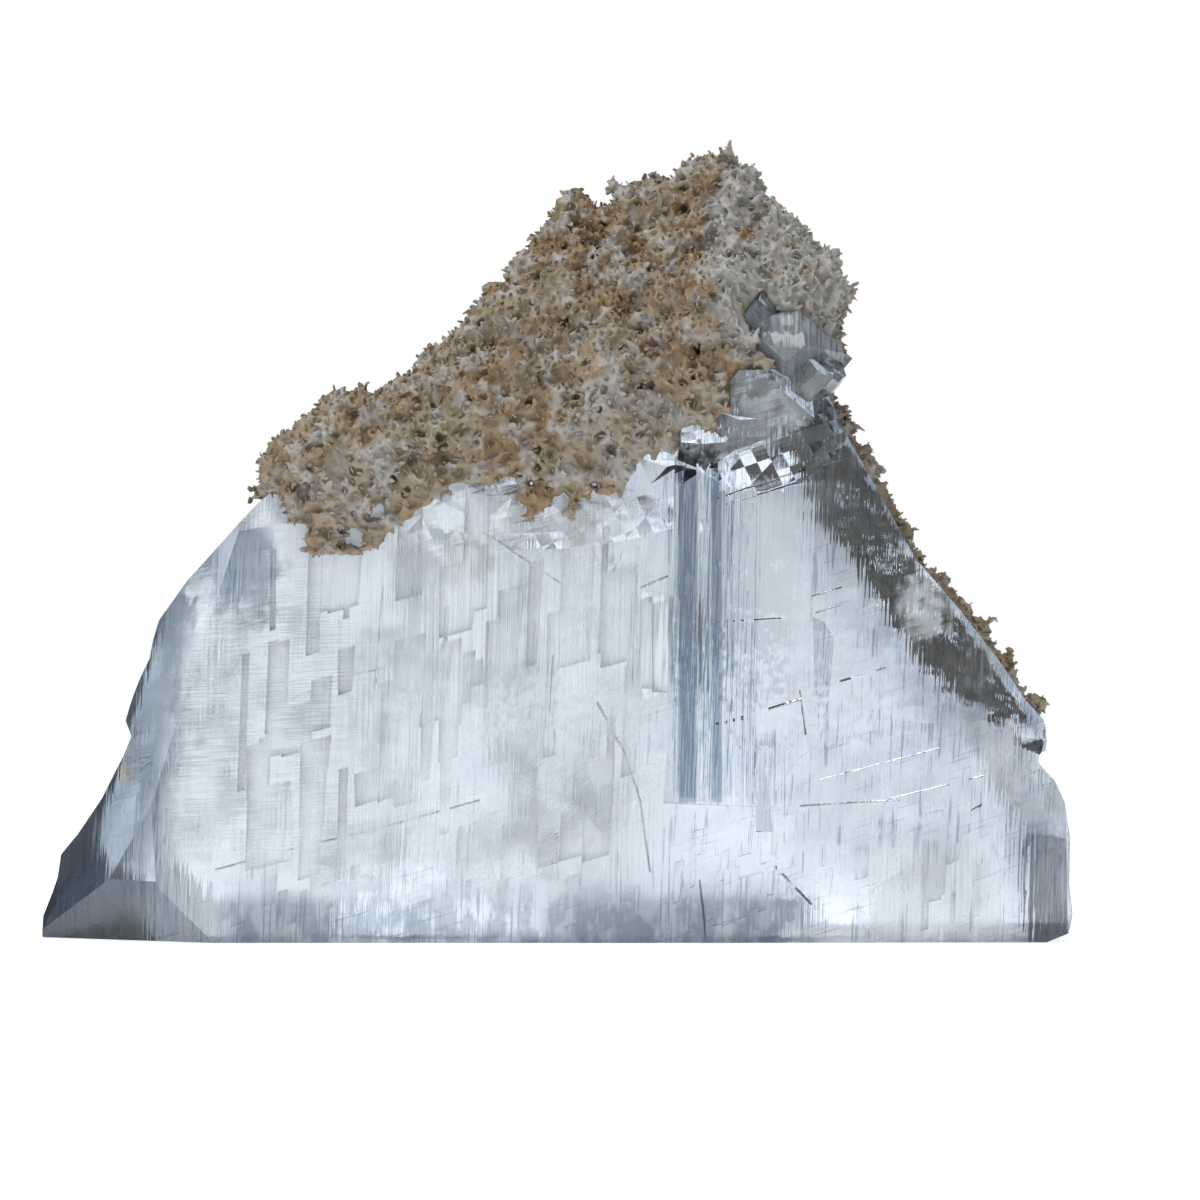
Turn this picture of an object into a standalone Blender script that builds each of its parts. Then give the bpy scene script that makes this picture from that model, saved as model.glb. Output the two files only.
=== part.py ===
"""A standing slab of clear selenite with its natural crust, at real size, in metres.

The slab is a thick plate split out of a larger gypsum crystal and sawn flat below, so that it stands.
Its front and back are cleavage faces with ledges, its sides are broken, and its top is the sloping
outside of the crystal. A porous crust of small gypsum crystals caps that slope and runs down the
right-hand end as a thin skin.

The front faces -Y. Places on the front are columns and rows of the 1200 x 1200 photograph, and depths
behind the middle of the slab use the same unit, the size of one pixel on the stone.
"""

import math
import random

import bmesh
import bpy
from mathutils import Matrix, Vector, noise

# Driving sizes, in metres
SLAB_WIDTH = 0.240
SLAB_THICKNESS = 0.060
CRUST_GAP = 0.0003

# The photograph's frame
SLAB_WIDTH_PX = 1042
PX = SLAB_WIDTH / SLAB_WIDTH_PX
MIDDLE_COLUMN = 555
BASE_ROW = 943
HALF_DEPTH = SLAB_THICKNESS / 2 / PX
FRONT = -HALF_DEPTH
BACK = HALF_DEPTH

# Meshing
CRUST_VOXEL = 0.0014
CRUST_FACES = 4600
WELD = 0.00002

# The slab's outline seen from the front, clockwise from its lower left corner
SLAB_OUTLINE = [
    (34, 943), (35, 921), (44, 899), (50, 882), (53, 859), (71, 838), (97, 801), (113, 770),
    (120, 757), (128, 738), (121, 722), (128, 699), (136, 679), (146, 659), (149, 641), (155, 621),
    (185, 581), (223, 541), (259, 502), (292, 474), (338, 436), (452, 362), (560, 270), (640, 224),
    (732, 176), (768, 228), (812, 320), (828, 392), (846, 432), (882, 496), (916, 558), (958, 606),
    (1004, 666), (1026, 700), (1044, 719), (1047, 735), (1039, 762), (1056, 781), (1066, 802),
    (1072, 838), (1071, 884), (1075, 916), (1070, 934), (1048, 943),
]

# The crust's outline seen from the front, clockwise from its lower left end
CRUST_OUTLINE = [
    (258, 500), (268, 486), (271, 466), (280, 449), (296, 432), (318, 416), (338, 404), (356, 402),
    (374, 400), (388, 392), (408, 385), (424, 372), (434, 354), (450, 348), (464, 332), (481, 309),
    (485, 296), (508, 274), (520, 252), (536, 233), (551, 213), (556, 198), (572, 187), (585, 193),
    (594, 205), (612, 198), (624, 187), (638, 183), (642, 175), (658, 171), (674, 180), (684, 174),
    (698, 151), (716, 143), (722, 153), (730, 142), (744, 151), (760, 170), (772, 192), (794, 219),
    (810, 244), (826, 252), (848, 277), (855, 298), (844, 316), (853, 334), (848, 352), (832, 362),
    (822, 396), (794, 425), (765, 445), (735, 455), (698, 466), (668, 456), (640, 482), (612, 508),
    (562, 498), (520, 512), (470, 520), (436, 508), (400, 522), (368, 552), (330, 560), (298, 548),
    (274, 520),
]

# The skin of crust on the right-hand end: its outer edge, going down, then its hidden inner edge
SKIN_OUTLINE = [
    (812, 352), (838, 388), (855, 400), (856, 424), (846, 438), (868, 446), (880, 474), (893, 497),
    (889, 508), (897, 521), (912, 540), (926, 561), (945, 581), (962, 602), (975, 621), (991, 641),
    (1008, 661), (1016, 680), (1030, 702), (1044, 720), (1022, 728), (880, 640), (720, 420),
    (720, 352),
]

# Knobs that stand out of the crust: column, row, depth and the radii across, in depth and in height
CRUST_KNOBS = [
    ("peak", 716, 186, 30, 40, 44, 42),
    ("peak_shoulder", 742, 205, 12, 26, 40, 52),
    ("boulder", 572, 208, 34, 17, 24, 20),
    ("roof_ledge", 656, 196, 44, 24, 34, 22),
    ("right_knob", 826, 296, -30, 24, 40, 30),
    ("right_lower_knob", 832, 338, 6, 15, 34, 17),
    ("gap_knob", 842, 412, 20, 17, 30, 19),
    ("left_end", 300, 462, -96, 34, 46, 42),
    ("left_brow", 342, 424, -70, 42, 44, 34),
    ("middle_brow", 500, 410, -112, 64, 34, 62),
    ("right_brow", 620, 400, -104, 62, 38, 70),
    ("left_lip", 332, 524, -124, 46, 22, 30),
    ("white_shoulder", 716, 330, -78, 56, 40, 84),
]

# Flat cuts through three points (column, row, depth), and a fourth that lies on the side taken off
SLAB_BREAKS = {
    "front_slope": [(275, 525, FRONT), (835, 430, FRONT), (650, 215, 40), (650, 215, -120)],
    "back_slope": [(275, 500, BACK), (835, 380, BACK), (735, 196, 42), (735, 196, 140)],
    "left_upper": [(232, 545, FRONT), (172, 740, FRONT), (140, 660, -34), (100, 640, FRONT)],
    "left_middle": [(178, 720, FRONT), (152, 800, FRONT), (84, 815, -30), (60, 800, FRONT)],
    "left_lower": [(150, 780, FRONT), (157, 890, FRONT), (50, 890, -52), (60, 860, FRONT)],
    "left_foot": [(155, 880, FRONT), (218, 943, FRONT), (34, 943, 8), (50, 935, FRONT)],
    "left_back": [(262, 560, BACK), (150, 943, BACK), (112, 730, 40), (60, 720, BACK)],
    "left_back_foot": [(120, 800, BACK), (232, 943, BACK), (52, 925, 46), (60, 940, BACK)],
    "right_end": [(828, 392, -104), (1040, 722, -104), (744, 392, BACK), (1040, 400, BACK)],
    "right_corner": [(1076, 790, 10), (1076, 930, 10), (1030, 860, BACK), (1100, 860, BACK)],
    "right_shoulder": [(1000, 700, BACK), (1040, 860, BACK), (1058, 760, 52), (1080, 760, BACK)],
    "right_front": [(1060, 800, FRONT), (1062, 930, FRONT), (1076, 860, -96), (1090, 860, FRONT)],
    "back_foot": [(400, 943, 116), (700, 943, 116), (560, 905, BACK), (560, 943, BACK)],
}

# Flat cuts that round off the corners of the crust, given in the same way
CRUST_CUTS = {
    "left_front_corner": [(262, 520, -90), (330, 470, -150), (262, 440, -80), (240, 470, -150)],
    "left_back_corner": [(262, 480, 40), (340, 460, 120), (300, 410, 44), (240, 470, 150)],
    "right_back_corner": [(842, 360, 40), (760, 400, 128), (842, 250, 24), (850, 300, 140)],
    "right_front_corner": [(840, 300, -70), (770, 240, -96), (836, 400, -96), (850, 250, -150)],
    "low_back": [(275, 470, BACK), (835, 440, BACK), (555, 620, 0), (555, 900, BACK)],
}

# Ledges in the two cleavage faces: how deep each is cut, in metres, and its outline
FRONT_LEDGES = {
    "window": (0.0030, [
        (676, 400), (850, 340), (1100, 600), (1100, 690), (1047, 716), (930, 724), (862, 716),
        (800, 758), (766, 807), (664, 803), (672, 700),
    ]),
    "window_bar": (0.0046, [(683, 410), (697, 410), (697, 798), (680, 798)]),
    "window_groove": (0.0046, [(710, 410), (719, 410), (716, 799), (707, 799)]),
    "lens": (0.0014, [
        (770, 780), (790, 740), (862, 690), (930, 722), (1080, 706), (1080, 800), (1000, 860),
        (900, 920), (780, 900),
    ]),
    "right_block": (0.0036, [
        (868, 894), (905, 870), (955, 832), (1000, 790), (1052, 764), (1090, 775), (1090, 975),
        (880, 975),
    ]),
    "tile_step": (0.0022, [
        (760, 812), (778, 806), (812, 862), (836, 892), (890, 900), (890, 970), (816, 970),
        (806, 905), (768, 872),
    ]),
    "foot_band": (0.0012, [
        (230, 965), (300, 905), (420, 898), (540, 872), (640, 905), (790, 900), (830, 930), (830, 965),
    ]),
    "left_step": (0.0007, [
        (150, 960), (162, 862), (340, 828), (480, 800), (500, 900), (400, 935), (300, 960),
    ]),
}
BACK_LEDGES = {
    "back_pane": (0.0034, [
        (330, 960), (352, 700), (420, 440), (560, 380), (600, 640), (560, 800), (570, 960),
    ]),
    "back_block": (0.0022, [
        (820, 960), (800, 760), (870, 560), (960, 560), (1090, 700), (1090, 960),
    ]),
    "back_sheet": (0.0012, [
        (540, 800), (580, 640), (660, 380), (820, 340), (900, 560), (840, 780), (700, 842),
    ]),
    "back_rib": (0.0050, [(596, 400), (606, 402), (612, 970), (600, 970)]),
}

# Broken chunks of clear selenite that stand out under the crust: centre and size, in pixels
BROKEN_CHUNKS = [
    ((786, 350, -84), (92, 76, 92)),
    ((806, 384, -92), (60, 70, 60)),
    ((762, 330, -78), (58, 60, 60)),
    ((770, 396, -100), (84, 58, 56)),
    ((738, 424, -104), (74, 56, 52)),
    ((708, 446, -106), (60, 54, 48)),
    ((652, 470, -108), (64, 52, 50)),
    ((566, 506, -112), (92, 50, 44)),
    ((512, 516, -114), (76, 44, 40)),
    ((440, 512, -114), (84, 44, 42)),
    ((1028, 738, -50), (44, 84, 40)),
]
CHUNK_CUTS = 12
CHUNK_REACH = (0.36, 0.5)

# The small leaves and blades that stand out of the crust: how many, and their length in metres
LEAF_COUNT = 230
LEAF_LENGTHS = (0.0060, 0.0105)
LEAF_SPACING = 0.0048

# The lumps and pits of the crust, in metres: size of a feature, and how far it moves the surface
CRUST_WAVES = [(0.030, 0.0030), (0.013, 0.0021)]
PIT_SPACING = 0.0075
PIT_DEPTH = 0.0034
CRUST_INSET = 0.0015


def place(column, row, depth):
    """A place in the photograph and a depth, as a point in metres."""
    return Vector(((column - MIDDLE_COLUMN) * PX, depth * PX, (BASE_ROW - row) * PX))


def clear_scene():
    for obj in list(bpy.data.objects):
        bpy.data.objects.remove(obj)


def new_collection(name):
    collection = bpy.data.collections.new(name)
    bpy.context.scene.collection.children.link(collection)
    return collection


def as_mesh(obj, collection, name):
    """The object as it is evaluated, in world space and welded, as a new mesh object. The old one goes."""
    bpy.context.view_layer.update()
    evaluated = obj.evaluated_get(bpy.context.evaluated_depsgraph_get())
    mesh = bpy.data.meshes.new_from_object(evaluated)
    mesh.transform(obj.matrix_world)
    bpy.data.objects.remove(obj)
    form = bmesh.new()
    form.from_mesh(mesh)
    bmesh.ops.remove_doubles(form, verts=form.verts, dist=WELD)
    bmesh.ops.recalc_face_normals(form, faces=form.faces)
    form.to_mesh(mesh)
    form.free()
    made = bpy.data.objects.new(name, mesh)
    collection.objects.link(made)
    return made


def plate(name, outline, near, far, collection):
    """An outline of the front view, extruded through the stone from one depth to another."""
    curve = bpy.data.curves.new(name, "CURVE")
    curve.dimensions = "2D"
    curve.fill_mode = "BOTH"
    curve.extrude = (far - near) / 2 * PX
    spline = curve.splines.new("POLY")
    spline.points.add(len(outline) - 1)
    for point, (column, row) in zip(spline.points, outline):
        spot = place(column, row, 0)
        point.co = (spot.x, spot.z, 0, 1)
    spline.use_cyclic_u = True
    obj = bpy.data.objects.new(name, curve)
    obj.rotation_euler.x = math.pi / 2
    obj.location.y = (near + far) / 2 * PX
    collection.objects.link(obj)
    return as_mesh(obj, collection, name)


def chunk(name, centre, size, dice, collection):
    """A broken piece of crystal: a turned box with its corners split off by flat cuts all round."""
    form = bmesh.new()
    bmesh.ops.create_cube(form, size=1)
    turned = Matrix.Rotation(dice.uniform(0, math.pi), 4, Vector((1, dice.random(), dice.random())))
    bmesh.ops.transform(form, matrix=turned, verts=form.verts)
    for _ in range(CHUNK_CUTS):
        normal = Vector([dice.uniform(-1, 1) for _ in range(3)]).normalized()
        cut = bmesh.ops.bisect_plane(
            form, geom=form.verts[:] + form.edges[:] + form.faces[:], dist=WELD,
            plane_co=normal * dice.uniform(*CHUNK_REACH), plane_no=normal, clear_outer=True,
        )
        rim = [item for item in cut["geom_cut"] if isinstance(item, bmesh.types.BMEdge)]
        bmesh.ops.holes_fill(form, edges=rim, sides=0)
    bmesh.ops.dissolve_limit(form, angle_limit=math.radians(2), verts=form.verts, edges=form.edges)
    bmesh.ops.recalc_face_normals(form, faces=form.faces)
    stretch = Matrix.Diagonal((size[0] * PX, size[1] * PX, size[2] * PX, 1))
    bmesh.ops.transform(form, matrix=Matrix.Translation(place(*centre)) @ stretch, verts=form.verts)
    return from_bmesh(form, name, collection)


def leaf(name, root, direction, length, dice, collection):
    """A small blade of gypsum: a flattened double pyramid that points out of the crust."""
    form = bmesh.new()
    bmesh.ops.create_cone(form, cap_ends=True, segments=4, radius1=0.5, radius2=0.14, depth=1)
    bmesh.ops.transform(form, matrix=Matrix.Translation((0, 0, -0.12)), verts=form.verts)
    width = length * dice.uniform(0.7, 1.0)
    thickness = length * dice.uniform(0.3, 0.5)
    flatten = Matrix.Diagonal((width, thickness, length, 1))
    turned = direction.to_track_quat("Z", "Y").to_matrix().to_4x4()
    spin = Matrix.Rotation(dice.uniform(0, math.pi), 4, "Z")
    bmesh.ops.transform(form, matrix=Matrix.Translation(root) @ turned @ spin @ flatten, verts=form.verts)
    return from_bmesh(form, name, collection)


def ball(name, centre, radii, collection):
    """A rounded lump, by its centre and radii in pixels."""
    form = bmesh.new()
    bmesh.ops.create_icosphere(form, subdivisions=3, radius=1)
    stretch = Matrix.Diagonal((radii[0] * PX, radii[1] * PX, radii[2] * PX, 1))
    bmesh.ops.transform(form, matrix=Matrix.Translation(place(*centre)) @ stretch, verts=form.verts)
    return from_bmesh(form, name, collection)


def from_bmesh(form, name, collection):
    mesh = bpy.data.meshes.new(name)
    form.to_mesh(mesh)
    form.free()
    obj = bpy.data.objects.new(name, mesh)
    collection.objects.link(obj)
    return obj


def flat_cut(name, points, collection, outward=0.0):
    """A large box whose face is the plane through three points. It covers the side of the fourth point,
    and it can be moved out by a distance in pixels."""
    first, second, third, beyond = [place(*point) for point in points]
    normal = (second - first).cross(third - first).normalized()
    if (beyond - first).dot(normal) < 0:
        normal.negate()
    form = bmesh.new()
    bmesh.ops.create_cube(form, size=2 * SLAB_WIDTH)
    turned = normal.to_track_quat("Z", "Y").to_matrix().to_4x4()
    middle = (first + second + third) / 3 + normal * (SLAB_WIDTH + outward * PX)
    bmesh.ops.transform(form, matrix=Matrix.Translation(middle) @ turned, verts=form.verts)
    return from_bmesh(form, name, collection)


def combine(stone, other, operation, solver="EXACT"):
    """Joins the other object, or all of a collection, to the stone, or cuts it away."""
    modifier = stone.modifiers.new(other.name, "BOOLEAN")
    modifier.operation = operation
    modifier.solver = solver
    if isinstance(other, bpy.types.Collection):
        modifier.operand_type = "COLLECTION"
        modifier.collection = other
    else:
        modifier.object = other
        other.hide_render = True
        other.display_type = "WIRE"
    apply_modifiers(stone)


def swollen_copy(obj, collection):
    """A copy of a piece of the slab with its whole surface moved out by the gap under the crust."""
    form = bmesh.new()
    form.from_mesh(obj.data)
    bmesh.ops.recalc_face_normals(form, faces=form.faces)
    form.normal_update()
    moves = [(vert, vert.normal * CRUST_GAP * vert.calc_shell_factor()) for vert in form.verts]
    for vert, move in moves:
        vert.co += move
    return from_bmesh(form, "seat_of_" + obj.name, collection)


def keep_largest_body(obj):
    """Drops the crumbs that a cut leaves loose, and keeps the body with the most faces."""
    form = bmesh.new()
    form.from_mesh(obj.data)
    bmesh.ops.remove_doubles(form, verts=form.verts, dist=WELD / 10)
    left = set(form.verts)
    bodies = []
    while left:
        front = [left.pop()]
        body = set(front)
        while front:
            vert = front.pop()
            for edge in vert.link_edges:
                other = edge.other_vert(vert)
                if other in left:
                    left.discard(other)
                    body.add(other)
                    front.append(other)
        bodies.append(body)
    bodies.sort(key=len)
    crumbs = [vert for body in bodies[:-1] for vert in body]
    bmesh.ops.delete(form, geom=crumbs, context="VERTS")
    form.to_mesh(obj.data)
    form.free()


def material(name, colour, roughness, see_through=0.0):
    made = bpy.data.materials.new(name)
    made.use_nodes = True
    shader = made.node_tree.nodes["Principled BSDF"]
    shader.inputs["Base Color"].default_value = (*colour, 1)
    shader.inputs["Roughness"].default_value = roughness
    shader.inputs["Metallic"].default_value = 0
    shader.inputs["Transmission Weight"].default_value = see_through
    shader.inputs["IOR"].default_value = 1.52
    return made


def make_slab(parts, cutters):
    """The clear plate: an outline extruded, split along flat breaks, with ledges and broken chunks.
    It comes with the swollen copies of its bulk and its chunks, which cut the crust's seat."""
    slab = plate("selenite_slab", SLAB_OUTLINE, FRONT, BACK, parts)
    for name, points in SLAB_BREAKS.items():
        combine(slab, flat_cut(name, points, cutters), "DIFFERENCE")
    seats = [swollen_copy(slab, cutters)]
    for name, (depth, outline) in FRONT_LEDGES.items():
        cutter = plate(name, outline, FRONT - 40, FRONT + depth / PX, cutters)
        combine(slab, cutter, "DIFFERENCE")
    for name, (depth, outline) in BACK_LEDGES.items():
        cutter = plate(name, outline, BACK - depth / PX, BACK + 40, cutters)
        combine(slab, cutter, "DIFFERENCE")
    dice = random.Random(11)
    for number, (centre, size) in enumerate(BROKEN_CHUNKS):
        piece = chunk(f"broken_chunk_{number + 1}", centre, size, dice, cutters)
        seats.append(swollen_copy(piece, cutters))
        combine(slab, piece, "UNION")
    keep_largest_body(slab)
    slab.data.materials.clear()
    slab.data.materials.append(material("selenite", (0.80, 0.86, 0.92), 0.12, 1.0))
    return seats


def crust_depth(point, normal):
    """How far the crust's surface moves along its normal: soft lumps, then sharp-edged pits."""
    move = 0.0
    for size, height in CRUST_WAVES:
        move += height * noise.noise(point / size + Vector((7.3, 2.9, 5.1)))
    distances, _ = noise.voronoi(point / PIT_SPACING)
    pit = max(0.0, 1 - distances[0] / 0.42)
    ridge = min(1.0, (distances[1] - distances[0]) / 0.25)
    return move - CRUST_INSET - PIT_DEPTH * pit + PIT_DEPTH * 0.4 * (1 - ridge)


def roughen(obj):
    """Moves each point of the crust along its normal by the depth of the lumps and pits there."""
    form = bmesh.new()
    form.from_mesh(obj.data)
    form.normal_update()
    moves = [(vert, vert.normal * crust_depth(vert.co, vert.normal)) for vert in form.verts]
    for vert, move in moves:
        vert.co += move
    form.to_mesh(obj.data)
    form.free()


def apply_modifiers(obj):
    bpy.context.view_layer.update()
    evaluated = obj.evaluated_get(bpy.context.evaluated_depsgraph_get())
    mesh = bpy.data.meshes.new_from_object(evaluated)
    obj.modifiers.clear()
    obj.data = mesh


def remesh(obj, voxel):
    modifier = obj.modifiers.new("even_skin", "REMESH")
    modifier.mode = "VOXEL"
    modifier.voxel_size = voxel
    apply_modifiers(obj)


def thin_out(obj, faces):
    modifier = obj.modifiers.new("fewer_faces", "DECIMATE")
    modifier.ratio = min(1.0, faces / (2 * len(obj.data.polygons)))
    apply_modifiers(obj)


def add_leaves(crust, leaves):
    """Joins small blades to the crust, well apart from each other, turned a little off its surface."""
    dice = random.Random(5)
    places = [(Vector(face.center), Vector(face.normal)) for face in crust.data.polygons]
    dice.shuffle(places)
    roots = []
    for root, normal in places:
        if len(roots) == LEAF_COUNT:
            break
        if any((root - other).length < LEAF_SPACING for other in roots):
            continue
        roots.append(root)
        lean = Vector([dice.uniform(-0.6, 0.6) for _ in range(3)])
        direction = (normal + lean).normalized()
        leaf(f"leaf_{len(roots)}", root, direction, dice.uniform(*LEAF_LENGTHS), dice, leaves)
    combine(crust, leaves, "UNION")


def make_crust(seats, leaves, parts, cutters):
    """The cap and the skin of crust: extruded outlines with knobs, one skin over all, lumps and pits,
    then cut by the slab with a small gap."""
    crust = plate("crust", CRUST_OUTLINE, FRONT - 10, BACK + 6, parts)
    combine(crust, flat_cut("cap_front", SLAB_BREAKS["front_slope"], cutters, outward=46), "DIFFERENCE")
    combine(crust, flat_cut("cap_back", SLAB_BREAKS["back_slope"], cutters, outward=34), "DIFFERENCE")
    for name, points in CRUST_CUTS.items():
        combine(crust, flat_cut(name, points, cutters), "DIFFERENCE")
    skin = plate("skin", SKIN_OUTLINE, FRONT + 52, BACK - 6, cutters)
    combine(skin, flat_cut("skin_outside", SLAB_BREAKS["right_end"], cutters, outward=20), "DIFFERENCE")
    combine(crust, skin, "UNION")
    for name, column, row, depth, *radii in CRUST_KNOBS:
        combine(crust, ball(name, (column, row, depth), radii, cutters), "UNION")
    remesh(crust, CRUST_VOXEL)
    roughen(crust)
    remesh(crust, CRUST_VOXEL)
    thin_out(crust, CRUST_FACES)
    add_leaves(crust, leaves)
    for seat in seats:
        combine(crust, seat, "DIFFERENCE", solver="MANIFOLD")
    keep_largest_body(crust)
    crust.data.materials.clear()
    crust.data.materials.append(material("crust", (0.42, 0.33, 0.22), 0.85))
    return crust


def centre_on_base(parts):
    """Moves the whole stone so that the middle of its box's underside is the origin."""
    corners = [vert.co for obj in parts.objects for vert in obj.data.vertices]
    low = Vector([min(corner[axis] for corner in corners) for axis in range(3)])
    high = Vector([max(corner[axis] for corner in corners) for axis in range(3)])
    shift = Vector((-(low.x + high.x) / 2, -(low.y + high.y) / 2, -low.z))
    for obj in parts.objects:
        obj.data.transform(Matrix.Translation(shift))


def main():
    clear_scene()
    parts = new_collection("Selenite slab")
    cutters = new_collection("Cutters")
    leaves = new_collection("Leaves")
    seats = make_slab(parts, cutters)
    make_crust(seats, leaves, parts, cutters)
    centre_on_base(parts)
    for obj in list(cutters.objects) + list(leaves.objects):
        bpy.data.objects.remove(obj)


main()
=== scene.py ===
# %% [markdown]
# # A slab of selenite with its crust
#
# The real thing is a thick plate of clear gypsum, split along its cleavage and sawn flat below, so
# that it stands by itself. A porous crust of small tan crystals caps its sloping top and runs down
# its right-hand end. The solids of both are loaded here as a fixed frame, and this lesson dresses
# them: camera and light first, then fine geometry and a finish for each of the pieces.

# %% Load the frame
import math
import random

import bmesh
import bpy
from mathutils import Matrix, Vector, noise
from mathutils.bvhtree import BVHTree


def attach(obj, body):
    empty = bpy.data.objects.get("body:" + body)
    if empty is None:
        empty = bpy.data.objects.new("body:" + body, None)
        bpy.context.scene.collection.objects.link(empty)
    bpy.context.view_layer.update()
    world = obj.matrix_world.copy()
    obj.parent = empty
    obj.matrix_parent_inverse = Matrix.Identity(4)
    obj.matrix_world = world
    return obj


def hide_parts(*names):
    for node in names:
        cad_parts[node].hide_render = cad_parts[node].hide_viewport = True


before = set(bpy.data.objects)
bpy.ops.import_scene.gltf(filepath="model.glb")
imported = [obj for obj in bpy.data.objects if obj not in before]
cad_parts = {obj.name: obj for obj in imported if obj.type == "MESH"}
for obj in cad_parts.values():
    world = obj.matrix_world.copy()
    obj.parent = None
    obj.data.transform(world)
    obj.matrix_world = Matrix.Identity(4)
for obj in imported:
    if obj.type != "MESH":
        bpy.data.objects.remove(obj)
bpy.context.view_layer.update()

# %% [markdown]
# ## Places on the stone
#
# Features are placed by their column and row in the 1200 x 1200 photograph, because that is where
# they are seen. One helper turns such a place, and a depth behind the front face, into metres.

# %% Places on the stone
SLAB_WIDTH = 0.240
SLAB_WIDTH_PX = 1042
PX = SLAB_WIDTH / SLAB_WIDTH_PX
MIDDLE_COLUMN = 554.5
BASE_ROW = 943
FRONT_Y = -0.0289
BACK_Y = 0.0311


def at(column, row, depth=0.0):
    """A place in the photograph and a depth behind the front face, as a point in metres."""
    return Vector(((column - MIDDLE_COLUMN) * PX, FRONT_Y + depth, (BASE_ROW - row) * PX))


print("one pixel is", round(PX * 1000, 4), "mm on the stone")

# %% [markdown]
# ## The camera
#
# The photograph was taken from straight in front, about level with the stone: the foot of the left
# side, which lies further back, is only a few pixels higher than the front edge. A long lens from
# two metres away gives the same flat view.

# %% The camera
CAMERA_DISTANCE = 2.0
CAMERA_HEIGHT = 0.088
FRAME_PX = 1200
SENSOR = 36.0
FAR_LIMIT = 20

camera_data = bpy.data.cameras.new("camera")
camera_data.sensor_width = SENSOR
camera_data.lens = SENSOR * CAMERA_DISTANCE / (FRAME_PX * PX)
camera_data.clip_end = FAR_LIMIT
camera = bpy.data.objects.new("camera", camera_data)
bpy.context.scene.collection.objects.link(camera)
aim = at(FRAME_PX / 2, FRAME_PX / 2)
camera.location = (aim.x, aim.y - CAMERA_DISTANCE, CAMERA_HEIGHT)
camera.rotation_euler = (aim - camera.location).to_track_quat("-Z", "Y").to_euler()
bpy.context.scene.camera = camera
print("lens", round(camera_data.lens, 1), "mm")

# %% [markdown]
# ## Shader maths as Python
#
# A finish is a sum of patterns. This small class wraps one socket of a material's node tree, so
# that sums and products of patterns are written as plain expressions, and any other node comes
# from its method called node.


# %% Shader maths
class Field:
    """One socket of a material. Sums and products of fields add Math nodes."""

    def __init__(self, tree, socket=None):
        self.tree = tree
        self.socket = socket

    def node(self, kind, settings=None, inputs=None, output=0):
        """Adds a node: its type, its settings, and the values or fields of its sockets."""
        added = self.tree.nodes.new("ShaderNode" + kind)
        for name, value in (settings or {}).items():
            setattr(added, name, value)
        for name, value in (inputs or {}).items():
            if isinstance(value, Field):
                self.tree.links.new(value.socket, added.inputs[name])
            else:
                added.inputs[name].default_value = value
        return Field(self.tree, added.outputs[output])

    def maths(self, operation, first, second=0.0):
        """A Math node on one or two fields or numbers."""
        return self.node("Math", {"operation": operation}, {0: first, 1: second})

    def __add__(self, other):
        return self.maths("ADD", self, other)

    __radd__ = __add__

    def __sub__(self, other):
        return self.maths("SUBTRACT", self, other)

    def __rsub__(self, other):
        return self.maths("SUBTRACT", other, self)

    def __mul__(self, other):
        return self.maths("MULTIPLY", self, other)

    __rmul__ = __mul__

    def between(self, low, high, to_low=0.0, to_high=1.0):
        """The field eased from one range to another, and held at its ends."""
        values = {"Value": self, "From Min": low, "From Max": high, "To Min": to_low, "To Max": to_high}
        return self.node("MapRange", {"interpolation_type": "SMOOTHSTEP"}, values)

    def blend(self, first, second):
        """Mixes two colours by this field: 0 gives the first."""
        settings = {"data_type": "RGBA"}
        return self.node("Mix", settings, {0: self, 6: shown(first), 7: shown(second)}, output=2)


def shown(colour):
    """A plain colour gets its alpha, and a field stays as it is."""
    return colour if isinstance(colour, Field) else (*colour, 1)


def new_finish(name):
    """An empty node tree for a finish, as the field that its nodes start from."""
    material = bpy.data.materials.new(name)
    material.use_nodes = True
    material.node_tree.nodes.clear()
    return material, Field(material.node_tree)


def close_finish(start, surface, volume=None):
    """Links the shader, and the volume if there is one, to the finish's output."""
    output = start.tree.nodes.new("ShaderNodeOutputMaterial")
    start.tree.links.new(surface.socket, output.inputs["Surface"])
    if volume:
        start.tree.links.new(volume.socket, output.inputs["Volume"])


def stretched(start, scale, turn=(0, 0, 0)):
    """The object's own coordinates, scaled and turned: a large scale is a fine pattern."""
    coordinates = start.node("TexCoord", output="Object")
    values = {"Vector": coordinates, "Scale": scale, "Rotation": turn}
    return start.node("Mapping", {"vector_type": "POINT"}, values)


# %% [markdown]
# ## Studio
#
# Clear crystal has no colour of its own to speak of: it shows what is around it. So the room is
# bright straight ahead and straight behind, where a level look goes through the slab, and dimmer
# and bluer to the sides. Flat parts then look pale, and slanting facets and cracks look blue-grey.
# The eye itself sees plain white paper. The floor is one pale disc.

# %% Floor
FLOOR_RADIUS = 5.0
FLOOR_SIDES = 96
FLOOR_GAP = 0.0002
PAPER_COLOUR = (0.92, 0.92, 0.93)
PAPER_GLOW = 0.78

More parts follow.
